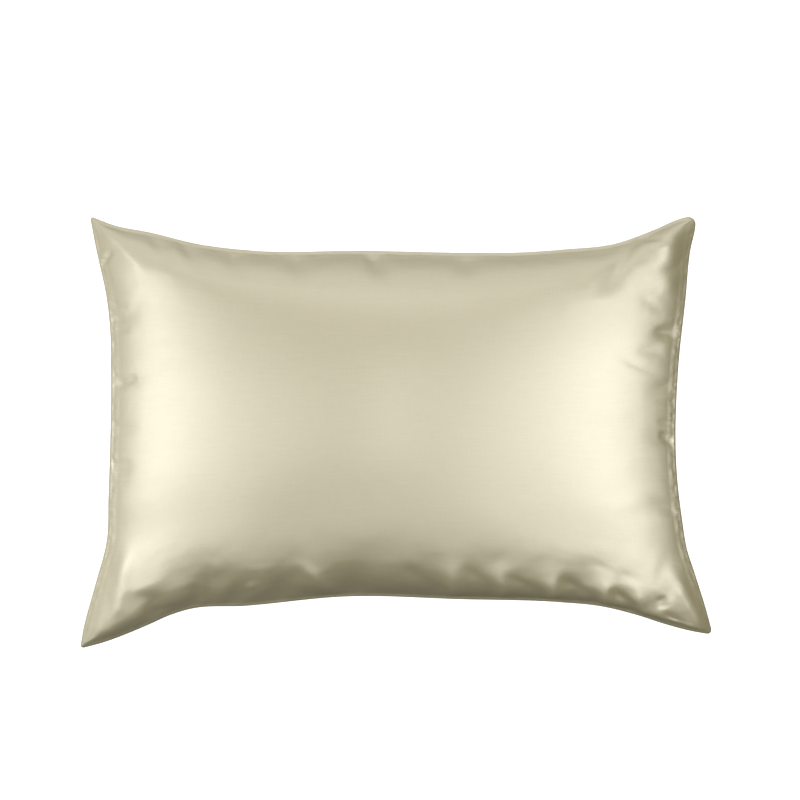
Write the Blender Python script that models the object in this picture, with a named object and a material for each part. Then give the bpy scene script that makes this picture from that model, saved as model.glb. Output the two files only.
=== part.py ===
"""A satin pillowcase with its pillow inside, lying on its back.

One filled solid, in metres: +X along the long side, +Y towards the far long side, +Z up through
the crown. The origin is on the surface that the pillow rests on, under the middle of its box.

The front and back panels meet all round in a turned seam, which leaves a narrow flat lip. The
filling draws the four sides in between the corners and leaves the corners as thin ears.
"""

from collections import namedtuple

import bmesh
import bpy
import numpy as np

# --- Driving dimensions -------------------------------------------------------------------------
CROWN = 0.108  # how far the front panel rises above the seam in the middle
SEAM_HEIGHT = 0.078  # the seam above the floor at the middle of a side
EAR_DROOP = 0.040  # how much lower the seam is at a corner tip
EAR_REACH = 3  # the higher, the more of the droop is in the ear alone
LIP_WIDTH = 0.004  # lip of the turned seam, outside the line of stitches
LIP_DROP = 0.004  # how far the lip hangs down over its width
LIP_THICKNESS = 0.002
REST_LONG, REST_SHORT = 0.50, 0.52  # flat rest patch of the back, as shares of X and Y
CELLS_LONG, CELLS_SHORT = 62, 42  # mesh cells between the lips, along X and along Y
EDGE_CROWDING = 0.55  # 0 spaces the cells evenly, 1 crowds them towards the seam

# --- Outline, seen from above -------------------------------------------------------------------
# The tips of the four ears: each place, and how roundly the seam turns there.
Tip = namedtuple("Tip", "x y radius")
TIPS = {
    "near_left": Tip(-0.3670, -0.2520, 0.005),
    "near_right": Tip(0.3685, -0.2360, 0.008),
    "far_left": Tip(-0.3555, 0.2510, 0.005),
    "far_right": Tip(0.3490, 0.2520, 0.012),
}
SIDE_ENDS = {
    "near": ("near_left", "near_right"),
    "far": ("far_left", "far_right"),
    "left": ("near_left", "far_left"),
    "right": ("near_right", "far_right"),
}
# How far each side is drawn in from the straight line between its tips.
Station = namedtuple("Station", "along drawn_in")  # share of the side, metres
DRAWN_IN = {
    "near": (
        Station(0.000, 0.0000),
        Station(0.035, 0.0065),
        Station(0.110, 0.0270),
        Station(0.145, 0.0380),
        Station(0.175, 0.0445),
        Station(0.265, 0.0475),
        Station(0.425, 0.0560),
        Station(0.600, 0.0500),
        Station(0.760, 0.0435),
        Station(0.820, 0.0380),
        Station(0.880, 0.0260),
        Station(0.920, 0.0155),
        Station(0.960, 0.0065),
        Station(1.000, 0.0000),
    ),
    "far": (
        Station(0.000, 0.0000),
        Station(0.040, 0.0110),
        Station(0.100, 0.0200),
        Station(0.180, 0.0340),
        Station(0.270, 0.0420),
        Station(0.450, 0.0425),
        Station(0.640, 0.0450),
        Station(0.710, 0.0445),
        Station(0.780, 0.0410),
        Station(0.865, 0.0340),
        Station(0.925, 0.0190),
        Station(0.975, 0.0040),
        Station(1.000, 0.0000),
    ),
    "left": (
        Station(0.000, 0.0000),
        Station(0.045, 0.0040),
        Station(0.150, 0.0180),
        Station(0.255, 0.0310),
        Station(0.350, 0.0320),
        Station(0.650, 0.0315),
        Station(0.720, 0.0300),
        Station(0.800, 0.0250),
        Station(0.930, 0.0085),
        Station(1.000, 0.0000),
    ),
    "right": (
        Station(0.000, 0.0000),
        Station(0.050, 0.0060),
        Station(0.150, 0.0200),
        Station(0.210, 0.0285),
        Station(0.280, 0.0330),
        Station(0.360, 0.0365),
        Station(0.640, 0.0305),
        Station(0.800, 0.0185),
        Station(0.920, 0.0090),
        Station(0.970, 0.0020),
        Station(1.000, 0.0000),
    ),
}

# --- Filling ------------------------------------------------------------------------------------
# The front panel is a crown that sinks from the middle to a brim over each side, as a share of the
# height in the middle. A fall cuts it off at each side, which starts at the seam and would climb
# the whole height within its run: the first figure is at the side's start, the second at its end.
BRIM = {"near": 0.46, "far": 0.70, "left": 0.20, "right": 0.24}
RUN = {
    "near": (0.065, 0.010),
    "far": (0.050, 0.050),
    "left": (0.175, 0.135),
    "right": (0.180, 0.155),
}
CROWN_LONG, CROWN_SHORT = 1.8, 2.3  # powers of the crown's curve along X and along Y: 2 is a parabola
ROUNDING = 3.0  # how sharply crown and falls meet: the higher, the sharper
NO_CLIMB = 1e-9  # metres, in place of 0 on the lip
# The cloth leaves the seam in a small roll: how high, and how quickly it is reached.
SEAM_ROLL = 0.006
SEAM_ROLL_REACH = 0.010
# How square-shouldered the back is, between its flat rest patch and the seam: 2 is an ellipse.
BACK_FULLNESS = 1.35

# --- Folds --------------------------------------------------------------------------------------
# Soft troughs that start at the seam, where the stitches gather the panel, or ridges where the depth
# is negative. Along is the place of the foot as a share of the side, and lean is how much further
# along the inner end lies, in metres as are reach, width and depth. Each is narrow at its foot and
# wide at its inner end.
Fold = namedtuple("Fold", "side along lean reach width depth")
FOOT_WIDTH, END_WIDTH = 0.7, 1.5  # shares of the fold's width
LENGTHWISE_PEAK = 4 / 27  # the most that share * (1 - share) ** 2 comes to
FRONT_FOLDS = (
    Fold("near", 0.120, -0.010, 0.055, 0.015, 0.0050),
    Fold("near", 0.190, 0.020, 0.065, 0.017, 0.0080),
    Fold("near", 0.250, 0.010, 0.055, 0.017, 0.0050),
    Fold("near", 0.320, 0.000, 0.055, 0.020, 0.0060),
    Fold("near", 0.385, -0.020, 0.065, 0.015, -0.0024),
    Fold("near", 0.440, -0.005, 0.055, 0.018, 0.0040),
    Fold("near", 0.595, -0.005, 0.065, 0.012, -0.0050),
    Fold("near", 0.668, 0.000, 0.060, 0.011, -0.0045),
    Fold("near", 0.745, 0.006, 0.060, 0.011, -0.0045),
    Fold("near", 0.780, -0.010, 0.050, 0.013, 0.0040),
    Fold("near", 0.828, 0.004, 0.060, 0.011, -0.0045),
    Fold("near", 0.885, -0.006, 0.055, 0.011, -0.0035),
    Fold("far", 0.110, 0.016, 0.050, 0.013, 0.0030),
    Fold("far", 0.165, 0.010, 0.050, 0.012, 0.0035),
    Fold("far", 0.236, 0.002, 0.045, 0.012, 0.0030),
    Fold("far", 0.338, 0.004, 0.050, 0.012, 0.0030),
    Fold("far", 0.468, 0.008, 0.050, 0.012, 0.0045),
    Fold("far", 0.620, -0.004, 0.045, 0.014, 0.0030),
    Fold("far", 0.890, -0.035, 0.075, 0.013, 0.0040),
    Fold("left", 0.420, 0.000, 0.040, 0.008, 0.0008),
    Fold("left", 0.510, 0.003, 0.040, 0.008, 0.0008),
    Fold("left", 0.620, 0.004, 0.045, 0.009, 0.0010),
    Fold("left", 0.765, 0.010, 0.045, 0.009, 0.0010),
    Fold("right", 0.300, 0.014, 0.050, 0.010, 0.0012),
    Fold("right", 0.466, 0.010, 0.045, 0.010, 0.0012),
    Fold("right", 0.600, -0.006, 0.045, 0.010, 0.0014),
    Fold("right", 0.735, -0.010, 0.050, 0.011, 0.0018),
    Fold("right", 0.890, -0.010, 0.050, 0.011, 0.0020),
)
# The back has plain folds of one size, at these shares of each side.
BACK_FOLD_SIZE = {"lean": 0.006, "reach": 0.055, "width": 0.014, "depth": 0.004}
BACK_FOLD_PLACES = {
    "near": (0.17, 0.30, 0.44, 0.57, 0.70, 0.84),
    "far": (0.16, 0.29, 0.43, 0.55, 0.71, 0.83),
    "left": (0.25, 0.50, 0.74),
    "right": (0.27, 0.49, 0.76),
}

# --- Cloth --------------------------------------------------------------------------------------
CLOTH_COLOUR = (0.62, 0.59, 0.44, 1.0)
CLOTH_ROUGHNESS = 0.38


def clear_scene():
    for obj in list(bpy.data.objects):
        bpy.data.objects.remove(obj, do_unlink=True)


def tip_place(name):
    return np.array((TIPS[name].x, TIPS[name].y))


def side_length(side):
    """The straight distance between the side's two tips."""
    start, end = (tip_place(name) for name in SIDE_ENDS[side])
    return float(np.linalg.norm(end - start))


def drawn_in(side, along):
    """The side's inset at each share of its length, on a smooth curve through its stations."""
    stations = DRAWN_IN[side]
    x = np.array([station.along for station in stations])
    y = np.array([station.drawn_in for station in stations])
    slopes = np.gradient(y, x)
    i = np.clip(np.searchsorted(x, along, side="right") - 1, 0, len(x) - 2)
    span = x[i + 1] - x[i]
    h = (along - x[i]) / span
    from_start = y[i] * (1 + 2 * h) * (1 - h) ** 2
    from_end = y[i + 1] * h**2 * (3 - 2 * h)
    bend = span * h * (1 - h) * (slopes[i] * (1 - h) - slopes[i + 1] * h)
    return from_start + from_end + bend


def side_points(side, along):
    """Points of the outer edge of the lip along one side, seen from above."""
    start, end = (tip_place(name) for name in SIDE_ENDS[side])
    chord = end - start
    inward = np.array((-chord[1], chord[0])) / np.linalg.norm(chord)
    if side in ("far", "left"):
        inward = -inward
    return start + np.outer(along, chord) + np.outer(drawn_in(side, along), inward)


def lip_root(side):
    """Where the lip starts on the way along the side, from 0 in its middle to 1 at its end."""
    return 1 - LIP_WIDTH / (side_length(side) / 2)


def spacing(cells, side):
    """Grid lines from -1 to 1 along the side: one cell for each lip and the rest between."""
    even = np.linspace(-1, 1, cells + 1)
    crowded = np.sin(even * np.pi / 2)
    between = (1 - EDGE_CROWDING) * even + EDGE_CROWDING * crowded
    return np.concatenate(([-1.0], between * lip_root(side), [1.0]))


def round_tips(s, t):
    """Moves the grid in from each corner, so that the lip turns the tip in an arc."""
    half_long, half_short = side_length("near") / 2, side_length("left") / 2
    s, t = s.copy(), t.copy()
    for tip in TIPS.values():
        sign_s, sign_t = np.sign(tip.x), np.sign(tip.y)
        share_s, share_t = tip.radius / half_long, tip.radius / half_short
        p = 1 - (1 - s * sign_s) / share_s
        q = 1 - (1 - t * sign_t) / share_t
        at_tip = (p > 0) & (q > 0)
        p, q = p[at_tip], q[at_tip]
        s[at_tip] = sign_s * (1 - share_s + share_s * p * np.sqrt(1 - q**2 / 2))
        t[at_tip] = sign_t * (1 - share_t + share_t * q * np.sqrt(1 - p**2 / 2))
    return s, t


def plan(s, t):
    """Where each pair (s, t) lies, seen from above. Both run from -1 to 1 across the panel."""
    across, up = (s + 1) / 2, (t + 1) / 2
    near, far = side_points("near", across), side_points("far", across)
    left, right = side_points("left", up), side_points("right", up)
    a, b = across[:, None], up[:, None]
    corners = (
        (1 - a) * (1 - b) * tip_place("near_left")
        + a * (1 - b) * tip_place("near_right")
        + (1 - a) * b * tip_place("far_left")
        + a * b * tip_place("far_right")
    )
    return (1 - b) * near + b * far + (1 - a) * left + a * right - corners


def from_seam(s, t):
    """The distance of each point from the outer edge of each side, measured on the flat cloth."""
    across, up = (s + 1) / 2, (t + 1) / 2
    return {
        "near": up * side_length("left"),
        "far": (1 - up) * side_length("left"),
        "left": across * side_length("near"),
        "right": (1 - across) * side_length("near"),
    }


def uncut_fill(s, t):
    """The front panel's height before it is scaled: the crown and the four falls as one surface."""
    across, up = (s + 1) / 2, (t + 1) / 2
    brim_long = np.where(s < 0, BRIM["left"], BRIM["right"])
    brim_short = np.where(t < 0, BRIM["near"], BRIM["far"])
    sunk_long = (1 - brim_long) * np.abs(s) ** CROWN_LONG
    sunk_short = (1 - brim_short) * np.abs(t) ** CROWN_SHORT
    total = ((1 - sunk_long) * (1 - sunk_short)) ** -ROUNDING
    for side, distance in from_seam(s, t).items():
        along = across if side in ("near", "far") else up
        run = RUN[side][0] * (1 - along) + RUN[side][1] * along
        climb = np.maximum(distance - LIP_WIDTH, NO_CLIMB) / run
        total = total + climb**-ROUNDING
    return total ** (-1 / ROUNDING)


def fill(s, t):
    """The share of the full height at each point of the front panel."""
    return uncut_fill(s, t) / uncut_fill(np.zeros(1), np.zeros(1))


def seam_roll(s, t):
    """The small roll inside the lip, which has its full height from a little way in."""
    share = np.ones_like(s)
    for distance in from_seam(s, t).values():
        inward = np.maximum(distance - LIP_WIDTH, 0)
        share = share * (1 - np.exp(-inward / SEAM_ROLL_REACH))
    return SEAM_ROLL * share


def seam_height(s, t):
    """The height of the seam, which sinks towards the tips and whose lip hangs down outside it."""
    distance = np.minimum.reduce(list(from_seam(s, t).values()))
    over_lip = 1 - np.clip(distance / LIP_WIDTH, 0, 1)
    return SEAM_HEIGHT - EAR_DROOP * np.abs(s * t) ** EAR_REACH - LIP_DROP * over_lip


def front_height(s, t):
    """The height of the front panel: the seam at its edge and the crown in its middle."""
    lip_top = seam_height(s, t) + LIP_THICKNESS / 2
    return lip_top + seam_roll(s, t) + (CROWN - SEAM_ROLL) * fill(s, t)


def back_height(s, t):
    """The height of the back panel: nothing over its rest patch, rising from there to the seam."""
    u = np.clip((np.abs(s) - REST_LONG) / (lip_root("near") - REST_LONG), 0, 1)
    v = np.clip((np.abs(t) - REST_SHORT) / (lip_root("left") - REST_SHORT), 0, 1)
    sunk = np.sqrt(1 - u**BACK_FULLNESS) * np.sqrt(1 - v**BACK_FULLNESS)
    return (seam_height(s, t) - LIP_THICKNESS / 2) * (1 - sunk)


def fold_depth(folds, s, t):
    """How far the folds push each point into the filling."""
    across, up = (s + 1) / 2, (t + 1) / 2
    length = {side: side_length(side) for side in SIDE_ENDS}
    inward = from_seam(s, t)
    depth = np.zeros_like(s)
    for fold in folds:
        along = across if fold.side in ("near", "far") else up
        share = np.clip((inward[fold.side] - LIP_WIDTH) / fold.reach, 0, 1)
        centre = fold.along * length[fold.side] + fold.lean * share
        width = fold.width * (FOOT_WIDTH + (END_WIDTH - FOOT_WIDTH) * share)
        sideways = np.exp(-(((along * length[fold.side] - centre) / width) ** 2))
        lengthwise = share * (1 - share) ** 2 / LENGTHWISE_PEAK
        depth += fold.depth * lengthwise * sideways
    return depth


def back_folds():
    return [
        Fold(side=side, along=along, **BACK_FOLD_SIZE)
        for side, places in BACK_FOLD_PLACES.items()
        for along in places
    ]


def add_panel(bm, height_of, outside, folds):
    """Adds one panel of the case as a grid of faces, and returns the edges of its rim.

    Outside is 1 if the panel faces up and -1 if it faces down.
    """
    columns = spacing(CELLS_LONG, "near")
    rows = spacing(CELLS_SHORT, "left")
    grid = bmesh.ops.create_grid(
        bm, x_segments=len(columns) - 1, y_segments=len(rows) - 1, size=1.0
    )
    verts = grid["verts"]
    flat = np.array([vert.co[:2] for vert in verts])
    s = columns[np.rint((flat[:, 0] + 1) / 2 * (len(columns) - 1)).astype(int)]
    t = rows[np.rint((flat[:, 1] + 1) / 2 * (len(rows) - 1)).astype(int)]
    smooth = np.column_stack((plan(*round_tips(s, t)), height_of(s, t)))
    for vert, place in zip(verts, smooth):
        vert.co = place
    bm.normal_update()
    outward = np.array([vert.normal for vert in verts]) * outside
    folded = smooth - outward * fold_depth(folds, s, t)[:, None]
    for vert, place in zip(verts, folded):
        vert.co = place
    faces = {face for vert in verts for face in vert.link_faces}
    if outside < 0:
        bmesh.ops.reverse_faces(bm, faces=list(faces))
    return {edge for face in faces for edge in face.edges if edge.is_boundary}


def centre_on_origin(bm):
    """Moves the solid so that its box is centred over the origin."""
    places = np.array([vert.co for vert in bm.verts])
    middle = (places.min(axis=0) + places.max(axis=0)) / 2
    bmesh.ops.translate(bm, verts=bm.verts, vec=(-middle[0], -middle[1], 0))


def make_satin():
    material = bpy.data.materials.new("satin")
    material.use_nodes = True
    shader = material.node_tree.nodes["Principled BSDF"]
    shader.inputs["Base Color"].default_value = CLOTH_COLOUR
    shader.inputs["Roughness"].default_value = CLOTH_ROUGHNESS
    shader.inputs["Metallic"].default_value = 0.0
    material.diffuse_color = CLOTH_COLOUR
    return material


def make_pillowcase():
    """The front and back panels, joined round the edge of the lip into one closed solid."""
    bm = bmesh.new()
    front_rim = add_panel(bm, front_height, 1, FRONT_FOLDS)
    back_rim = add_panel(bm, back_height, -1, back_folds())
    bmesh.ops.bridge_loops(bm, edges=list(front_rim | back_rim))
    bmesh.ops.recalc_face_normals(bm, faces=bm.faces)
    centre_on_origin(bm)
    mesh = bpy.data.meshes.new("pillowcase")
    bm.to_mesh(mesh)
    bm.free()
    mesh.shade_smooth()
    mesh.materials.append(make_satin())
    pillowcase = bpy.data.objects.new("pillowcase", mesh)
    bpy.context.scene.collection.objects.link(pillowcase)
    return pillowcase


clear_scene()
make_pillowcase()
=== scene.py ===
"""The looks of a satin pillowcase on its pillow: a fine cloth surface, its satin, a studio floor,
soft light and a camera straight above. Metres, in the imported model's frame."""

import math
from collections import namedtuple

import bpy
import numpy as np
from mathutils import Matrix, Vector


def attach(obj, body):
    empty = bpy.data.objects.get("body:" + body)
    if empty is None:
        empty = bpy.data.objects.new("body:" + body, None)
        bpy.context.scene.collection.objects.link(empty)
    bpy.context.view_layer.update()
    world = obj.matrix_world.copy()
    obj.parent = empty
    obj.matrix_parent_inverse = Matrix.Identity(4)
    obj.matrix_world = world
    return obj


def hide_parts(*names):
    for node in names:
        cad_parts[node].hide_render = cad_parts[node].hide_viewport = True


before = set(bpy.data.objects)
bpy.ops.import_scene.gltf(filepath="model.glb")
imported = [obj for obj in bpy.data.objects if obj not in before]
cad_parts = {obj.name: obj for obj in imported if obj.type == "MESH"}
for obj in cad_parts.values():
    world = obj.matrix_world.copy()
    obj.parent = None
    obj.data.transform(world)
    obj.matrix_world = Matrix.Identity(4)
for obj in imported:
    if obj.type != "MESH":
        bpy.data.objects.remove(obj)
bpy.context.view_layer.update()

NODE = "pillowcase"

# --- Form, as in the solid ----------------------------------------------------------------------
CROWN = 0.108  # how far the front panel rises above the seam in the middle
SEAM_HEIGHT = 0.078  # the seam above the floor at the middle of a side
EAR_DROOP = 0.040  # how much lower the seam is at a corner tip
EAR_REACH = 3  # the higher, the more of the droop is in the ear alone
LIP_WIDTH = 0.004  # lip of the turned seam, outside the line of stitches
LIP_DROP = 0.004  # how far the lip hangs down over its width
REST_LONG, REST_SHORT = 0.50, 0.52  # flat rest patch of the back, as shares of X and Y

Tip = namedtuple("Tip", "x y radius")
TIPS = {
    "near_left": Tip(-0.3670, -0.2520, 0.005),
    "near_right": Tip(0.3685, -0.2360, 0.008),
    "far_left": Tip(-0.3555, 0.2510, 0.005),
    "far_right": Tip(0.3490, 0.2520, 0.012),
}
SIDE_ENDS = {
    "near": ("near_left", "near_right"),
    "far": ("far_left", "far_right"),
    "left": ("near_left", "far_left"),
    "right": ("near_right", "far_right"),
}
# How far each side is drawn in from the straight line between its tips.
Station = namedtuple("Station", "along drawn_in")  # share of the side, metres
DRAWN_IN = {
    "near": (
        Station(0.000, 0.0000),
        Station(0.035, 0.0065),
        Station(0.110, 0.0270),
        Station(0.145, 0.0380),
        Station(0.175, 0.0445),
        Station(0.265, 0.0475),
        Station(0.425, 0.0560),
        Station(0.600, 0.0500),
        Station(0.760, 0.0435),
        Station(0.820, 0.0380),
        Station(0.880, 0.0260),
        Station(0.920, 0.0155),
        Station(0.960, 0.0065),
        Station(1.000, 0.0000),
    ),
    "far": (
        Station(0.000, 0.0000),
        Station(0.040, 0.0110),
        Station(0.100, 0.0200),
        Station(0.180, 0.0340),
        Station(0.270, 0.0420),
        Station(0.450, 0.0425),
        Station(0.640, 0.0450),
        Station(0.710, 0.0445),
        Station(0.780, 0.0410),
        Station(0.865, 0.0340),
        Station(0.925, 0.0190),
        Station(0.975, 0.0040),
        Station(1.000, 0.0000),
    ),
    "left": (
        Station(0.000, 0.0000),
        Station(0.045, 0.0040),
        Station(0.150, 0.0180),
        Station(0.255, 0.0310),
        Station(0.350, 0.0320),
        Station(0.650, 0.0315),
        Station(0.720, 0.0300),
        Station(0.800, 0.0250),
        Station(0.930, 0.0085),
        Station(1.000, 0.0000),
    ),
    "right": (
        Station(0.000, 0.0000),
        Station(0.050, 0.0060),
        Station(0.150, 0.0200),
        Station(0.210, 0.0285),
        Station(0.280, 0.0330),
        Station(0.360, 0.0365),
        Station(0.640, 0.0305),
        Station(0.800, 0.0185),
        Station(0.920, 0.0090),
        Station(0.970, 0.0020),
        Station(1.000, 0.0000),
    ),
}
# The front panel is a crown that sinks from the middle to a brim over each side, as a share of the
# height in the middle. A fall cuts it off at each side, which starts at the seam and would climb
# the whole height within its run: the first figure is at the side's start, the second at its end.
BRIM = {"near": 0.46, "far": 0.70, "left": 0.20, "right": 0.24}
RUN = {
    "near": (0.065, 0.010),
    "far": (0.050, 0.050),
    "left": (0.175, 0.135),
    "right": (0.180, 0.155),
}
CROWN_LONG, CROWN_SHORT = 1.8, 2.3  # powers of the crown's curve along X and along Y: 2 is a parabola
ROUNDING = 3.0  # how sharply crown and falls meet: the higher, the sharper
NO_CLIMB = 1e-9  # metres, in place of 0 on the lip
NO_LENGTH = 1e-12  # in place of 0 as the length of a normal
# The cloth leaves the seam in a small roll: how high, and how quickly it is reached.
SEAM_ROLL = 0.006
SEAM_ROLL_REACH = 0.010
# How square-shouldered the back is, between its flat rest patch and the seam: 2 is an ellipse.
BACK_FULLNESS = 1.35

# --- Grids --------------------------------------------------------------------------------------
# Cells between the lips, even numbers, of the surface that shows and of the one that is simulated.
FINE_LONG, FINE_SHORT = 232, 176
COARSE_LONG, COARSE_SHORT = 112, 76
EDGE_CROWDING = 0.45  # 0 spaces the cells evenly, 1 crowds them towards the seam
# The turned edge of the lip in section: distance in from its outer edge, and half its thickness.
LipLine = namedtuple("LipLine", "inward half_thick")
LIP_SECTION = (
    LipLine(0.0000, 0.0003),
    LipLine(0.0005, 0.0008),
    LipLine(0.0016, 0.0010),
    LipLine(0.0029, 0.0009),
    LipLine(LIP_WIDTH, 0.0004),
)
PLAIN_LIP = (LipLine(0.0000, 0.0010), LipLine(LIP_WIDTH, 0.0010))

# --- Folds --------------------------------------------------------------------------------------
Fold = namedtuple("Fold", "side along lean reach width depth")
FOOT_WIDTH, END_WIDTH = 0.7, 1.5  # shares of the fold's width
LENGTHWISE_PEAK = 4 / 27  # the most that share * (1 - share) ** 2 comes to
FRONT_FOLDS = (
    Fold("near", 0.120, -0.010, 0.055, 0.015, 0.0050),
    Fold("near", 0.190, 0.020, 0.065, 0.017, 0.0080),
    Fold("near", 0.250, 0.010, 0.055, 0.017, 0.0050),
    Fold("near", 0.320, 0.000, 0.055, 0.020, 0.0060),
    Fold("near", 0.385, -0.020, 0.065, 0.015, -0.0024),
    Fold("near", 0.440, -0.005, 0.055, 0.018, 0.0040),
    Fold("near", 0.595, -0.005, 0.065, 0.012, -0.0050),
    Fold("near", 0.668, 0.000, 0.060, 0.011, -0.0045),
    Fold("near", 0.745, 0.006, 0.060, 0.011, -0.0045),
    Fold("near", 0.780, -0.010, 0.050, 0.013, 0.0040),
    Fold("near", 0.828, 0.004, 0.060, 0.011, -0.0045),
    Fold("near", 0.885, -0.006, 0.055, 0.011, -0.0035),
    Fold("far", 0.110, 0.016, 0.050, 0.013, 0.0030),
    Fold("far", 0.165, 0.010, 0.050, 0.012, 0.0035),
    Fold("far", 0.236, 0.002, 0.045, 0.012, 0.0030),
    Fold("far", 0.338, 0.004, 0.050, 0.012, 0.0030),
    Fold("far", 0.468, 0.008, 0.050, 0.012, 0.0045),
    Fold("far", 0.620, -0.004, 0.045, 0.014, 0.0030),
    Fold("far", 0.890, -0.035, 0.075, 0.013, 0.0040),
    Fold("left", 0.420, 0.000, 0.040, 0.008, 0.0008),
    Fold("left", 0.510, 0.003, 0.040, 0.008, 0.0008),
    Fold("left", 0.620, 0.004, 0.045, 0.009, 0.0010),
    Fold("left", 0.765, 0.010, 0.045, 0.009, 0.0010),
    Fold("right", 0.300, 0.014, 0.050, 0.010, 0.0012),
    Fold("right", 0.466, 0.010, 0.045, 0.010, 0.0012),
    Fold("right", 0.600, -0.006, 0.045, 0.010, 0.0014),
    Fold("right", 0.735, -0.010, 0.050, 0.011, 0.0018),
    Fold("right", 0.890, -0.010, 0.050, 0.011, 0.0020),
)
BACK_FOLD_SIZE = {"lean": 0.006, "reach": 0.055, "width": 0.014, "depth": 0.004}
BACK_FOLD_PLACES = {
    "near": (0.17, 0.30, 0.44, 0.57, 0.70, 0.84),
    "far": (0.16, 0.29, 0.43, 0.55, 0.71, 0.83),
    "left": (0.25, 0.50, 0.74),
    "right": (0.27, 0.49, 0.76),
}

# Creases and soft ridges on the front panel, finer than the solid's folds: where each starts and
# ends seen from above, its width, and its depth, which is negative for a ridge. All in metres.
CREASE_FADE = 0.25  # the share of its length over which a crease fades, on both sides of each end
CREASES_START, CREASES_FULL = 0.5, 2.0  # lip widths in from the edge, for all creases
Crease = namedtuple("Crease", "x0 y0 x1 y1 width depth")
CREASES = (
    # The soft ridges of the four ears.
    Crease(-0.324, -0.224, -0.309, -0.142, 0.0090, -0.0020),
    Crease(0.356, -0.228, 0.319, -0.165, 0.0090, -0.0025),
    Crease(0.317, 0.226, 0.308, 0.164, 0.0150, -0.0034),
    Crease(-0.336, 0.232, -0.290, 0.185, 0.0090, -0.0015),
    # The left side's short creases, from far to near.
    Crease(-0.340, 0.193, -0.328, 0.207, 0.0030, 0.0020),
    Crease(-0.329, 0.146, -0.309, 0.146, 0.0030, 0.0009),
    Crease(-0.328, 0.129, -0.312, 0.129, 0.0028, 0.0007),
    Crease(-0.328, 0.117, -0.307, 0.118, 0.0030, 0.0009),
    Crease(-0.326, 0.054, -0.312, 0.056, 0.0028, 0.0013),
    Crease(-0.314, 0.056, -0.298, 0.063, 0.0030, 0.0012),
    Crease(-0.331, 0.010, -0.320, 0.009, 0.0028, 0.0009),
    Crease(-0.330, -0.036, -0.305, -0.035, 0.0030, 0.0009),
    Crease(-0.330, -0.048, -0.306, -0.046, 0.0030, 0.0009),
    Crease(-0.328, -0.060, -0.307, -0.056, 0.0030, 0.0007),
    # The right side's dents, from far to near.
    Crease(0.283, 0.152, 0.304, 0.140, 0.0060, 0.0005),
    Crease(0.298, 0.117, 0.322, 0.109, 0.0050, 0.0012),
    Crease(0.278, 0.094, 0.304, 0.093, 0.0060, 0.0006),
    Crease(0.262, 0.082, 0.304, 0.064, 0.0035, 0.0006),
    Crease(0.300, 0.036, 0.322, 0.034, 0.0030, 0.0008),
    Crease(0.302, 0.012, 0.324, 0.009, 0.0030, 0.0010),
    Crease(0.304, -0.002, 0.320, -0.014, 0.0040, 0.0014),
    # The far side's dents.
    Crease(0.280, 0.226, 0.312, 0.221, 0.0040, 0.0020),
    Crease(-0.026, 0.205, -0.027, 0.196, 0.0070, 0.0016),
    # The near side's light ridges in its left half.
    Crease(-0.221, -0.170, -0.221, -0.196, 0.0060, -0.0025),
    Crease(-0.201, -0.150, -0.209, -0.176, 0.0080, -0.0012),
    Crease(-0.166, -0.172, -0.162, -0.177, 0.0045, -0.0015),
    Crease(-0.107, -0.149, -0.071, -0.184, 0.0065, -0.0025),
    # The near side's slanting hollows in its right half.
    Crease(0.010, -0.154, 0.050, -0.180, 0.0070, 0.0020),
    Crease(0.079, -0.155, 0.116, -0.182, 0.0070, 0.0020),
    Crease(0.128, -0.165, 0.170, -0.185, 0.0060, 0.0025),
    Crease(0.193, -0.169, 0.234, -0.196, 0.0060, 0.0030),
    Crease(0.249, -0.183, 0.279, -0.206, 0.0060, 0.0035),
    # The near side's puckers towards the right ear.
    Crease(0.304, -0.190, 0.307, -0.202, 0.0060, 0.0013),
    Crease(0.310, -0.210, 0.334, -0.222, 0.0045, 0.0018),
)

# --- Camera -------------------------------------------------------------------------------------
IMAGE_SIDE = 800  # pixels
METRES_PER_PIXEL = 0.001155
FOCUS_HEIGHT = 0.061  # the level at which METRES_PER_PIXEL holds
MIDDLE_PIXEL = (396.0, 432.5)  # where the middle of the pillow's box appears
LENS, SENSOR = 170.0, 36.0  # millimetres
FURTHEST_SEEN = 50  # metres


# --- Surface ------------------------------------------------------------------------------------
def smooth_step(low, high, value):
    share = np.clip((value - low) / (high - low), 0, 1)
    return share * share * (3 - 2 * share)


def tip_place(name):
    return np.array((TIPS[name].x, TIPS[name].y))


def side_length(side):
    """The straight distance between the side's two tips."""
    start, end = (tip_place(name) for name in SIDE_ENDS[side])
    return float(np.linalg.norm(end - start))


def drawn_in(side, along):
    """The side's inset at each share of its length, on a smooth curve through its stations."""
    stations = DRAWN_IN[side]
    x = np.array([station.along for station in stations])
    y = np.array([station.drawn_in for station in stations])
    slopes = np.gradient(y, x)
    i = np.clip(np.searchsorted(x, along, side="right") - 1, 0, len(x) - 2)
    span = x[i + 1] - x[i]
    h = (along - x[i]) / span
    from_start = y[i] * (1 + 2 * h) * (1 - h) ** 2
    from_end = y[i + 1] * h**2 * (3 - 2 * h)
    bend = span * h * (1 - h) * (slopes[i] * (1 - h) - slopes[i + 1] * h)
    return from_start + from_end + bend


def side_points(side, along):
    """Points of the outer edge of the lip along one side, seen from above."""
    start, end = (tip_place(name) for name in SIDE_ENDS[side])
    chord = end - start
    inward = np.array((-chord[1], chord[0])) / np.linalg.norm(chord)
    if side in ("far", "left"):
        inward = -inward
    return start + along[..., None] * chord + drawn_in(side, along)[..., None] * inward


def lip_root(side):
    """Where the lip starts on the way along the side, from 0 in its middle to 1 at its end."""
    return 1 - LIP_WIDTH / (side_length(side) / 2)


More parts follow.
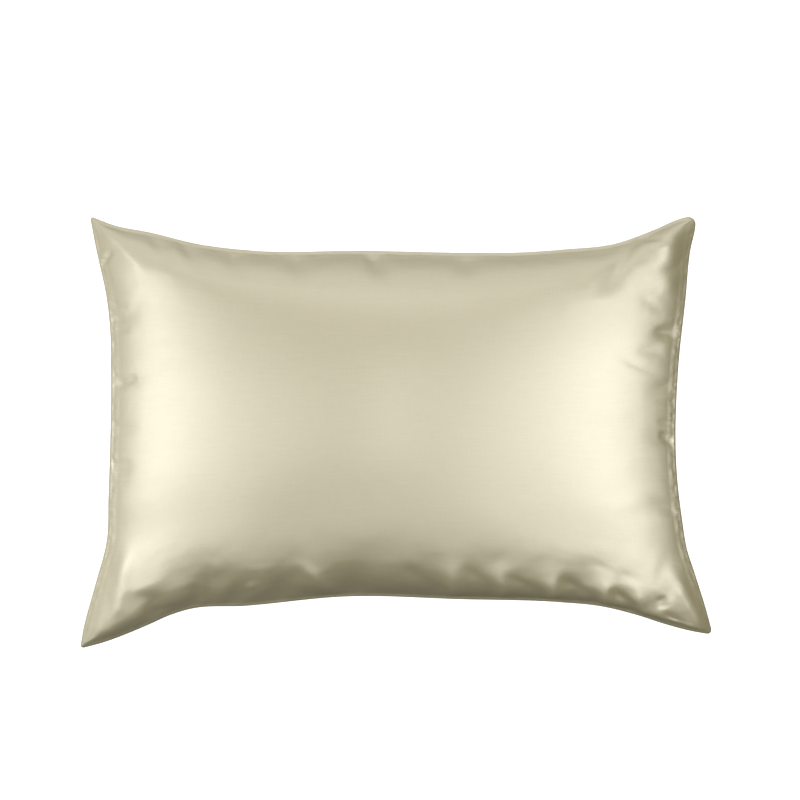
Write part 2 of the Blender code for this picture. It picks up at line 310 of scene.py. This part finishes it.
def spacing(cells, side, lip_section):
    """Grid lines from -1 to 1 along the side: the lip's own lines at its ends, the rest between."""
    lip = np.array([line.inward for line in lip_section[:-1]]) / (side_length(side) / 2)
    even = np.linspace(-1, 1, cells + 1)
    crowded = np.sin(even * np.pi / 2)
    between = (1 - EDGE_CROWDING) * even + EDGE_CROWDING * crowded
    return np.concatenate((-1 + lip, between * lip_root(side), (1 - lip)[::-1]))


def round_tips(s, t):
    """Moves the grid in from each corner, so that the lip turns the tip in an arc."""
    half_long, half_short = side_length("near") / 2, side_length("left") / 2
    s, t = s.copy(), t.copy()
    for tip in TIPS.values():
        sign_s, sign_t = np.sign(tip.x), np.sign(tip.y)
        share_s, share_t = tip.radius / half_long, tip.radius / half_short
        p = 1 - (1 - s * sign_s) / share_s
        q = 1 - (1 - t * sign_t) / share_t
        at_tip = (p > 0) & (q > 0)
        p, q = p[at_tip], q[at_tip]
        s[at_tip] = sign_s * (1 - share_s + share_s * p * np.sqrt(1 - q**2 / 2))
        t[at_tip] = sign_t * (1 - share_t + share_t * q * np.sqrt(1 - p**2 / 2))
    return s, t


def plan(s, t):
    """Where each pair (s, t) lies, seen from above. Both run from -1 to 1 across the panel."""
    across, up = (s + 1) / 2, (t + 1) / 2
    near, far = side_points("near", across), side_points("far", across)
    left, right = side_points("left", up), side_points("right", up)
    a, b = across[..., None], up[..., None]
    corners = (
        (1 - a) * (1 - b) * tip_place("near_left")
        + a * (1 - b) * tip_place("near_right")
        + (1 - a) * b * tip_place("far_left")
        + a * b * tip_place("far_right")
    )
    return (1 - b) * near + b * far + (1 - a) * left + a * right - corners


def from_seam(s, t):
    """The distance of each point from the outer edge of each side, measured on the flat cloth."""
    across, up = (s + 1) / 2, (t + 1) / 2
    return {
        "near": up * side_length("left"),
        "far": (1 - up) * side_length("left"),
        "left": across * side_length("near"),
        "right": (1 - across) * side_length("near"),
    }


def uncut_fill(s, t):
    """The front panel's height before it is scaled: the crown and the four falls as one surface."""
    across, up = (s + 1) / 2, (t + 1) / 2
    brim_long = np.where(s < 0, BRIM["left"], BRIM["right"])
    brim_short = np.where(t < 0, BRIM["near"], BRIM["far"])
    sunk_long = (1 - brim_long) * np.abs(s) ** CROWN_LONG
    sunk_short = (1 - brim_short) * np.abs(t) ** CROWN_SHORT
    total = ((1 - sunk_long) * (1 - sunk_short)) ** -ROUNDING
    for side, distance in from_seam(s, t).items():
        along = across if side in ("near", "far") else up
        run = RUN[side][0] * (1 - along) + RUN[side][1] * along
        climb = np.maximum(distance - LIP_WIDTH, NO_CLIMB) / run
        total = total + climb**-ROUNDING
    return total ** (-1 / ROUNDING)


def fill(s, t):
    """The share of the full height at each point of the front panel."""
    return uncut_fill(s, t) / uncut_fill(np.zeros(1), np.zeros(1))


def seam_roll(s, t):
    """The small roll inside the lip, which has its full height from a little way in."""
    share = np.ones_like(s)
    for distance in from_seam(s, t).values():
        inward = np.maximum(distance - LIP_WIDTH, 0)
        share = share * (1 - np.exp(-inward / SEAM_ROLL_REACH))
    return SEAM_ROLL * share


def seam_height(s, t):
    """The height of the seam, which sinks towards the tips and whose lip hangs down outside it."""
    distance = np.minimum.reduce(list(from_seam(s, t).values()))
    over_lip = 1 - np.clip(distance / LIP_WIDTH, 0, 1)
    return SEAM_HEIGHT - EAR_DROOP * np.abs(s * t) ** EAR_REACH - LIP_DROP * over_lip


def front_height(s, t, lip):
    """The height of the front panel: the seam at its edge and the crown in its middle."""
    lip_top = seam_height(s, t) + lip
    return lip_top + seam_roll(s, t) + (CROWN - SEAM_ROLL) * fill(s, t)


def back_height(s, t, lip):
    """The height of the back panel: nothing over its rest patch, rising from there to the seam."""
    u = np.clip((np.abs(s) - REST_LONG) / (lip_root("near") - REST_LONG), 0, 1)
    v = np.clip((np.abs(t) - REST_SHORT) / (lip_root("left") - REST_SHORT), 0, 1)
    sunk = np.sqrt(1 - u**BACK_FULLNESS) * np.sqrt(1 - v**BACK_FULLNESS)
    return (seam_height(s, t) - lip) * (1 - sunk)


def fold_depth(folds, s, t):
    """How far the folds push each point into the filling."""
    across, up = (s + 1) / 2, (t + 1) / 2
    length = {side: side_length(side) for side in SIDE_ENDS}
    inward = from_seam(s, t)
    depth = np.zeros_like(s)
    for fold in folds:
        along = across if fold.side in ("near", "far") else up
        share = np.clip((inward[fold.side] - LIP_WIDTH) / fold.reach, 0, 1)
        centre = fold.along * length[fold.side] + fold.lean * share
        width = fold.width * (FOOT_WIDTH + (END_WIDTH - FOOT_WIDTH) * share)
        sideways = np.exp(-(((along * length[fold.side] - centre) / width) ** 2))
        lengthwise = share * (1 - share) ** 2 / LENGTHWISE_PEAK
        depth += fold.depth * lengthwise * sideways
    return depth


def crease_depth(creases, places):
    """How far the creases push each point in, from the points' places seen from above."""
    depth = np.zeros(places.shape[:2])
    for crease in creases:
        start, end = np.array((crease.x0, crease.y0)), np.array((crease.x1, crease.y1))
        run = end - start
        offset = places[..., :2] - start
        along = offset @ run / (run @ run)
        aside = (offset[..., 0] * run[1] - offset[..., 1] * run[0]) / np.linalg.norm(run)
        begun = smooth_step(-CREASE_FADE, CREASE_FADE, along)
        ended = smooth_step(1 - CREASE_FADE, 1 + CREASE_FADE, along)
        lengthwise = begun * (1 - ended)
        depth += crease.depth * lengthwise * np.exp(-((aside / crease.width) ** 2))
    return depth


def back_folds():
    return [
        Fold(side=side, along=along, **BACK_FOLD_SIZE)
        for side, places in BACK_FOLD_PLACES.items()
        for along in places
    ]


def grid_normals(points):
    """Unit normals of a grid of points, on the side that +Z is on."""
    along_s = np.gradient(points, axis=1)
    along_t = np.gradient(points, axis=0)
    normals = np.cross(along_s, along_t)
    return normals / np.maximum(np.linalg.norm(normals, axis=-1, keepdims=True), NO_LENGTH)


Grid = namedtuple("Grid", "s t from_sides edge lip")


def flat_grid(cells_long, cells_short, lip_section):
    """A panel's grid: its coordinates from -1 to 1, the distances from each side's outer edge and
    from the nearest one, and half the lip's thickness."""
    columns = spacing(cells_long, "near", lip_section)
    rows = spacing(cells_short, "left", lip_section)
    s, t = np.meshgrid(columns, rows)
    from_sides = from_seam(s, t)
    edge = np.minimum.reduce(list(from_sides.values()))
    inward, half_thick = zip(*lip_section)
    return Grid(s, t, from_sides, edge, np.interp(edge, inward, half_thick))


def panel(grid, height_of, outside, folds):
    """One panel of the case as a grid of points: rows from near to far, columns left to right.

    Outside is 1 if the panel faces up and -1 if it faces down.
    """
    height = height_of(grid.s, grid.t, grid.lip)
    smooth = np.dstack((plan(*round_tips(grid.s, grid.t)), height))
    depth = fold_depth(folds, grid.s, grid.t)
    return smooth - outside * grid_normals(smooth) * depth[..., None]


def rim_ring(shape):
    """Indices of the grid's outermost points, once round, counter-clockwise from above."""
    count_t, count_s = shape
    index = np.arange(count_t * count_s).reshape(shape)
    return np.concatenate(
        (index[0, :-1], index[:-1, -1], index[-1, :0:-1], index[:0:-1, 0])
    )


def grid_faces(shape):
    count_t, count_s = shape
    index = np.arange(count_t * count_s).reshape(shape)
    corners = (index[:-1, :-1], index[:-1, 1:], index[1:, 1:], index[1:, :-1])
    return np.stack([corner.ravel() for corner in corners], axis=1)


def closed_mesh(name, front, back):
    """A mesh of the two panels, joined round their rims."""
    shape = front.shape[:2]
    offset = shape[0] * shape[1]
    ring = rim_ring(shape)
    following = np.roll(ring, -1)
    rim = np.stack((ring, ring + offset, following + offset, following), axis=1)
    faces = np.concatenate((grid_faces(shape), grid_faces(shape)[:, ::-1] + offset, rim))
    places = np.concatenate((front.reshape(-1, 3), back.reshape(-1, 3)))
    mesh = bpy.data.meshes.new(name)
    mesh.from_pydata(places.tolist(), [], faces.tolist())
    mesh.update()
    return mesh


# --- Cloth simulation ---------------------------------------------------------------------------
CLOTH_FRAMES = 20
CLOTH_GROWTH = 0.022  # how much larger the cloth is than the form that it starts from
CLOTH_SETTINGS = {
    "quality": 6,
    "mass": 0.12,
    "tension_stiffness": 25,
    "compression_stiffness": 8,
    "shear_stiffness": 4,
    "bending_stiffness": 0.3,
    "tension_damping": 20,
    "compression_damping": 20,
    "shear_damping": 10,
    "bending_damping": 2,
    "air_damping": 4,
    "use_pressure": True,
    "uniform_pressure_force": 3.0,
    "shrink_min": -CLOTH_GROWTH,
}
SEAM_SLACK = 1.01  # lets the lip's root count as seam in spite of rounding
REST_MARGIN = 0.03  # how far past the rest patch the back is held, as a share of X and Y
RIPPLE_PASSES = 60  # smoothing passes that leave only the broad swell, which is taken out
RIPPLE_FINISH_PASSES = 3  # smoothing passes over the ripples on the fine grid
RIPPLE_CAP = 0.007  # the most that the simulation may move a point
# How much of the ripples shows on the front panel along each side, and in its middle.
RIPPLE_SHARE = {"near": 0.45, "far": 0.20, "left": 0.12, "right": 0.15}
RIPPLE_SHARE_INSIDE = 0.1
RIPPLE_SIDES_END, RIPPLE_INSIDE_START = 0.05, 0.13  # distances from the nearest side
# How sides near a corner share a point: the distance that is added to each, and the power.
SIDE_BLEND, SIDE_BLEND_POWER = 0.01, 3
RIPPLES_FULL = 0.014  # distance from the edge from which the ripples aren't held by the seam
BACK_HELD, BACK_FREE = 0.002, 0.02  # heights of the back between which its ripples set in


def smoothed(field, passes):
    """The field after so many passes of a 1-2-1 filter along its rows and its columns."""
    for _ in range(passes):
        for axis in (0, 1):
            ends = np.take(field, (0, -1), axis=axis)
            padded = np.concatenate(
                (ends.take([0], axis=axis), field, ends.take([1], axis=axis)), axis=axis
            )
            count = field.shape[axis]
            before = padded.take(range(count), axis=axis)
            after = padded.take(range(2, count + 2), axis=axis)
            field = before / 4 + field / 2 + after / 4
    return field


def resampled(field, old, new):
    """A field on one grid read off on another."""
    wide = np.stack([
        np.stack([np.interp(new.s[0], old.s[0], row) for row in field[..., k]])
        for k in range(field.shape[-1])
    ], axis=-1)
    return np.stack([
        np.stack([np.interp(new.t[:, 0], old.t[:, 0], column) for column in wide[..., k].T], axis=1)
        for k in range(field.shape[-1])
    ], axis=-1)


def blown_up(grid, front, back):
    """How far each point of the two panels moves when the case is filled with air."""
    mesh = closed_mesh("cloth_trial", front, back)
    trial = bpy.data.objects.new("cloth_trial", mesh)
    scene = bpy.context.scene
    scene.collection.objects.link(trial)
    seam = (grid.edge <= LIP_WIDTH * SEAM_SLACK).ravel()
    resting = (np.abs(grid.s) < REST_LONG + REST_MARGIN) & (np.abs(grid.t) < REST_SHORT + REST_MARGIN)
    held = np.concatenate((seam, seam | resting.ravel()))
    group = trial.vertex_groups.new(name="held")
    group.add(np.flatnonzero(held).tolist(), 1.0, "REPLACE")
    modifier = trial.modifiers.new("cloth", "CLOTH")
    settings = modifier.settings
    for name, value in CLOTH_SETTINGS.items():
        setattr(settings, name, value)
    settings.vertex_group_mass = group.name
    settings.effector_weights.gravity = 0
    modifier.collision_settings.use_collision = False
    modifier.point_cache.frame_start = 1
    modifier.point_cache.frame_end = CLOTH_FRAMES
    for frame_number in range(1, CLOTH_FRAMES + 1):
        scene.frame_set(frame_number)
    blown = trial.evaluated_get(bpy.context.evaluated_depsgraph_get()).to_mesh()
    places = np.zeros(len(blown.vertices) * 3, dtype=np.float32)
    blown.vertices.foreach_get("co", places)
    places = places.reshape(2, *front.shape)
    moved = places[0] - front, places[1] - back
    bpy.data.objects.remove(trial, do_unlink=True)
    bpy.data.meshes.remove(mesh)
    scene.frame_set(1)
    return moved


def ripples(moved, coarse, fine, held):
    """The simulation's ripples without its broad swell, on the fine grid, fading out where held."""
    detail = moved - smoothed(moved, RIPPLE_PASSES)
    size = np.linalg.norm(detail, axis=-1, keepdims=True)
    detail = detail / np.maximum(1, size / RIPPLE_CAP)
    return smoothed(resampled(detail, coarse, fine), RIPPLE_FINISH_PASSES) * held[..., None]


def ripple_share(grid):
    """How much of the ripples the front panel shows: most near the sides, by side, little inside."""
    weights = {
        side: 1 / (distance + SIDE_BLEND) ** SIDE_BLEND_POWER
        for side, distance in grid.from_sides.items()
    }
    total = sum(weights.values())
    by_side = sum(RIPPLE_SHARE[side] * weights[side] for side in SIDE_ENDS) / total
    in_middle = smooth_step(RIPPLE_SIDES_END, RIPPLE_INSIDE_START, grid.edge)
    return by_side * (1 - in_middle) + RIPPLE_SHARE_INSIDE * in_middle


def make_cloth():
    fine = flat_grid(FINE_LONG, FINE_SHORT, LIP_SECTION)
    front = panel(fine, front_height, 1, FRONT_FOLDS)
    back = panel(fine, back_height, -1, back_folds())
    coarse = flat_grid(COARSE_LONG, COARSE_SHORT, PLAIN_LIP)
    moved_front, moved_back = blown_up(
        coarse,
        panel(coarse, front_height, 1, FRONT_FOLDS),
        panel(coarse, back_height, -1, back_folds()),
    )
    at_seam = smooth_step(LIP_WIDTH, RIPPLES_FULL, fine.edge)
    front = front + ripples(moved_front, coarse, fine, at_seam * ripple_share(fine))
    lifted = smooth_step(BACK_HELD, BACK_FREE, back[..., 2])
    back = back + ripples(moved_back, coarse, fine, at_seam * lifted)
    back[..., 2] = np.maximum(back[..., 2], 0)
    inside = smooth_step(CREASES_START * LIP_WIDTH, CREASES_FULL * LIP_WIDTH, fine.edge)
    front = front - grid_normals(front) * (crease_depth(CREASES, front) * inside)[..., None]
    both = np.concatenate((front.reshape(-1, 3), back.reshape(-1, 3)))
    middle = (both.min(axis=0) + both.max(axis=0)) / 2
    middle[2] = 0
    mesh = closed_mesh("satin_case", front - middle, back - middle)
    mesh.shade_smooth()
    flat = np.stack((fine.s * side_length("near") / 2, fine.t * side_length("left") / 2), axis=-1)
    flat = np.concatenate((flat.reshape(-1, 2), flat.reshape(-1, 2)))
    corner_verts = np.zeros(len(mesh.loops), dtype=np.int32)
    mesh.loops.foreach_get("vertex_index", corner_verts)
    layer = mesh.uv_layers.new(name="flat_cut")
    layer.data.foreach_set("uv", flat[corner_verts].astype(np.float32).ravel())
    cloth = bpy.data.objects.new("satin_case", mesh)
    bpy.context.scene.collection.objects.link(cloth)
    return cloth


# --- Satin --------------------------------------------------------------------------------------
SATIN_COLOUR = (0.84, 0.74, 0.40)
SATIN_METALLIC = 0.19  # the share of the gloss that takes the cloth's colour
SATIN_ROUGHNESS = 0.38
SATIN_IOR = 2.9
SATIN_SPECULAR_LEVEL = 1.0
STREAK_TONE = 0.36  # how much the streaks lighten and darken the cloth, from least to most
STREAK_ROUGHNESS = 0.06  # how much they change its roughness
STREAK_HEIGHT = 0.00010  # metres
STREAK_DETAIL, PUCKER_DETAIL = 2, 1  # octaves of their noise
# The threads, seen as short streaks: how many changes a metre along the case's long side and along
# its short side, and each one's share in the sum.
Streak = namedtuple("Streak", "name per_long per_short share")
STREAKS = (
    Streak("weft", 45, 950, 0.45),
    Streak("warp", 950, 45, 0.35),
    Streak("slub", 14, 240, 0.20),
)
# Small puckers next to the seam, where the stitches gather the cloth.
PUCKER_HEIGHT = 0.0020
PUCKERS_PER_METRE = 95
PUCKER_REACH = 0.009  # how far in from the seam they run


def set_input(tree, socket, value):
    """Gives a node's input a plain value or links it to an output."""
    if isinstance(value, bpy.types.NodeSocket):
        tree.links.new(value, socket)
    else:
        socket.default_value = value


def math_node(tree, operation, *values):
    node = tree.nodes.new("ShaderNodeMath")
    node.operation = operation
    for socket, value in zip(node.inputs, values):
        set_input(tree, socket, value)
    return node.outputs["Value"]


def noise_node(tree, vector, scale, detail):
    mapping = tree.nodes.new("ShaderNodeMapping")
    mapping.inputs["Scale"].default_value = scale
    tree.links.new(vector, mapping.inputs["Vector"])
    noise = tree.nodes.new("ShaderNodeTexNoise")
    noise.inputs["Scale"].default_value = 1
    noise.inputs["Detail"].default_value = detail
    tree.links.new(mapping.outputs["Vector"], noise.inputs["Vector"])
    return noise.outputs["Fac"]


def ranged(tree, value, middle, spread):
    """The value from 0 to 1, spread evenly round a middle."""
    return math_node(tree, "MULTIPLY_ADD", value, spread, middle - spread / 2)


def bump_node(tree, height, distance, normal=None):
    bump = tree.nodes.new("ShaderNodeBump")
    bump.inputs["Distance"].default_value = distance
    tree.links.new(height, bump.inputs["Height"])
    if normal is not None:
        tree.links.new(normal, bump.inputs["Normal"])
    return bump.outputs["Normal"]


def pucker_height(tree, flat):
    """The puckers' height, from 0 to 1: a coarse noise that fades out a little way in."""
    split = tree.nodes.new("ShaderNodeSeparateXYZ")
    tree.links.new(flat, split.inputs["Vector"])
    from_edge = []
    for axis, side in (("X", "near"), ("Y", "left")):
        distance = math_node(tree, "ABSOLUTE", split.outputs[axis])
        from_edge.append(math_node(tree, "SUBTRACT", side_length(side) / 2, distance))
    edge = math_node(tree, "MINIMUM", *from_edge)
    fade = tree.nodes.new("ShaderNodeMapRange")
    fade.interpolation_type = "SMOOTHSTEP"
    tree.links.new(edge, fade.inputs["Value"])
    fade.inputs["From Min"].default_value = LIP_WIDTH
    fade.inputs["From Max"].default_value = LIP_WIDTH + PUCKER_REACH
    fade.inputs["To Min"].default_value = 1
    fade.inputs["To Max"].default_value = 0
    noise = noise_node(tree, flat, (PUCKERS_PER_METRE, PUCKERS_PER_METRE, 1), PUCKER_DETAIL)
    return math_node(tree, "MULTIPLY", noise, fade.outputs["Result"])


def make_satin():
    material = bpy.data.materials.new("satin")
    material.use_nodes = True
    tree = material.node_tree
    shader = tree.nodes["Principled BSDF"]
    flat_map = tree.nodes.new("ShaderNodeUVMap")
    flat_map.uv_map = "flat_cut"
    flat = flat_map.outputs["UV"]
    streaks = 0.0
    for streak in STREAKS:
        noise = noise_node(tree, flat, (streak.per_long, streak.per_short, 1), STREAK_DETAIL)
        streaks = math_node(tree, "MULTIPLY_ADD", noise, streak.share, streaks)
    tone = tree.nodes.new("ShaderNodeVectorMath")
    tone.operation = "SCALE"
    tone.inputs["Vector"].default_value = SATIN_COLOUR
    tree.links.new(ranged(tree, streaks, 1.0, STREAK_TONE), tone.inputs["Scale"])
    tree.links.new(tone.outputs["Vector"], shader.inputs["Base Color"])
    roughness = ranged(tree, streaks, SATIN_ROUGHNESS, STREAK_ROUGHNESS)
    tree.links.new(roughness, shader.inputs["Roughness"])
    puckered = bump_node(tree, pucker_height(tree, flat), PUCKER_HEIGHT)
    tree.links.new(bump_node(tree, streaks, STREAK_HEIGHT, puckered), shader.inputs["Normal"])
    shader.inputs["Metallic"].default_value = SATIN_METALLIC
    shader.inputs["IOR"].default_value = SATIN_IOR
    shader.inputs["Specular IOR Level"].default_value = SATIN_SPECULAR_LEVEL
    return material


# --- Studio -------------------------------------------------------------------------------------
FLOOR_HALF = 6.0
FLOOR_COLOUR = (0.9, 0.9, 0.9, 1)
FLOOR_ROUGHNESS = 0.9
FLOOR_GLOW = 1.0  # the paper shows white, also where the pillow shades it
WHITE = (1, 1, 1, 1)


def make_floor():
    mesh = bpy.data.meshes.new("floor")
    corners = [(x * FLOOR_HALF, y * FLOOR_HALF, 0) for x, y in ((-1, -1), (1, -1), (1, 1), (-1, 1))]
    mesh.from_pydata(corners, [], [(0, 1, 2, 3)])
    floor = bpy.data.objects.new("floor", mesh)
    bpy.context.scene.collection.objects.link(floor)
    material = bpy.data.materials.new("floor_paper")
    material.use_nodes = True
    shader = material.node_tree.nodes["Principled BSDF"]
    shader.inputs["Base Color"].default_value = FLOOR_COLOUR
    shader.inputs["Roughness"].default_value = FLOOR_ROUGHNESS
    shader.inputs["Emission Color"].default_value = WHITE
    shader.inputs["Emission Strength"].default_value = FLOOR_GLOW
    mesh.materials.append(material)
    floor.visible_diffuse = False
    floor.visible_glossy = False


# The room's own soft light, from the directions below. Each one is dark at the first cosine of the
# angle to its direction and full at the second.
Glow = namedtuple("Glow", "name direction dark full strength")
GLOWS = (
    Glow("ceiling", (0, 0, 1), 0.2, 0.9, 0.40),
    Glow("far_wall", (0, 1, 0), 0.2, 1.0, 0.67),
    Glow("left_wall", (-1, 0, 0), 0.5, 1.0, 0.53),
    Glow("near_wall", (0, -1, 0), 0.2, 0.9, 0.09),
)
# Softboxes at one distance, aimed at the pillow, in rows of up to three along its short side: the
# angle from straight up, the bearing (0 is +X, 90 is +Y), the width and height of a box in metres,
# and the watts of the near, the middle and the far one. No box is built where the watts are 0.
Softbox = namedtuple("Softbox", "name from_up bearing width height near middle far")
SOFTBOX_DISTANCE = 2.3
SOFTBOX_SPACING = 0.8  # from the middle of one box in a row to the next
AIM = Vector((0, 0, 0.1))
SOFTBOXES = (
    Softbox("right_high", 28, 0, 0.5, 0.8, 1.15, 1.15, 0.3),
    Softbox("right_above", 40, 0, 0.5, 0.8, 0.3, 0.3, 0.3),
    Softbox("right", 50, 0, 0.5, 0.8, 1.4, 2.9, 1.8),
    Softbox("right_below", 60, 0, 0.5, 0.8, 1.3, 1.0, 1.0),
    Softbox("right_low", 74, 0, 0.5, 0.8, 0, 0.9, 0),
    Softbox("left_high", 28, 180, 0.5, 0.8, 0, 0.9, 0),
    Softbox("left", 50, 180, 0.5, 0.8, 1.8, 1.35, 0),
    Softbox("left_below", 60, 180, 0.5, 0.8, 0, 1.95, 1.95),
    Softbox("left_low", 74, 180, 0.5, 0.8, 0.7, 0.6, 0),
    Softbox("top", 0, 0, 0.8, 0.8, 0, 1.6, 0),
    Softbox("near_high", 28, 270, 1.6, 0.5, 0, 0.8, 0),
)


def make_softboxes():
    for box in SOFTBOXES:
        tilt, bearing = math.radians(box.from_up), math.radians(box.bearing)
        outward = Vector((math.cos(bearing), math.sin(bearing), 0))
        middle = (outward * math.sin(tilt) + Vector((0, 0, math.cos(tilt)))) * SOFTBOX_DISTANCE
        for step, power in zip((-1, 0, 1), (box.near, box.middle, box.far)):
            if power == 0:
                continue
            data = bpy.data.lights.new(box.name, "AREA")
            data.shape = "RECTANGLE"
            data.size, data.size_y = box.width, box.height
            data.energy = power
            light = bpy.data.objects.new("softbox_" + box.name, data)
            bpy.context.scene.collection.objects.link(light)
            place = middle + Vector((0, step * SOFTBOX_SPACING, 0))
            light.location = place
            light.rotation_mode = "QUATERNION"
            light.rotation_quaternion = (AIM - place).to_track_quat("-Z", "Y")
            light.visible_camera = False


def make_room():
    world = bpy.data.worlds.new("studio")
    bpy.context.scene.world = world
    world.use_nodes = True
    tree = world.node_tree
    background = tree.nodes["Background"]
    background.inputs["Color"].default_value = WHITE
    place = tree.nodes.new("ShaderNodeTexCoord")
    total = 0.0
    for glow in GLOWS:
        towards = tree.nodes.new("ShaderNodeVectorMath")
        towards.operation = "DOT_PRODUCT"
        tree.links.new(place.outputs["Generated"], towards.inputs[0])
        towards.inputs[1].default_value = glow.direction
        fade = tree.nodes.new("ShaderNodeMapRange")
        fade.interpolation_type = "SMOOTHSTEP"
        tree.links.new(towards.outputs["Value"], fade.inputs["Value"])
        fade.inputs["From Min"].default_value = glow.dark
        fade.inputs["From Max"].default_value = glow.full
        total = math_node(tree, "MULTIPLY_ADD", fade.outputs["Result"], glow.strength, total)
    tree.links.new(total, background.inputs["Strength"])


def make_camera():
    data = bpy.data.cameras.new("camera")
    data.sensor_width = SENSOR
    data.lens = LENS
    data.clip_end = FURTHEST_SEEN
    camera = bpy.data.objects.new("camera", data)
    bpy.context.scene.collection.objects.link(camera)
    distance = METRES_PER_PIXEL * IMAGE_SIDE * LENS / SENSOR
    middle = IMAGE_SIDE / 2
    right = (middle - MIDDLE_PIXEL[0]) * METRES_PER_PIXEL
    up = (MIDDLE_PIXEL[1] - middle) * METRES_PER_PIXEL
    camera.location = (right, up, FOCUS_HEIGHT + distance)
    bpy.context.scene.camera = camera


cloth = make_cloth()
cloth.data.materials.append(make_satin())
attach(cloth, "root")
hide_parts(NODE)
make_floor()
make_softboxes()
make_room()
make_camera()
bpy.context.scene.view_settings.view_transform = "Standard"
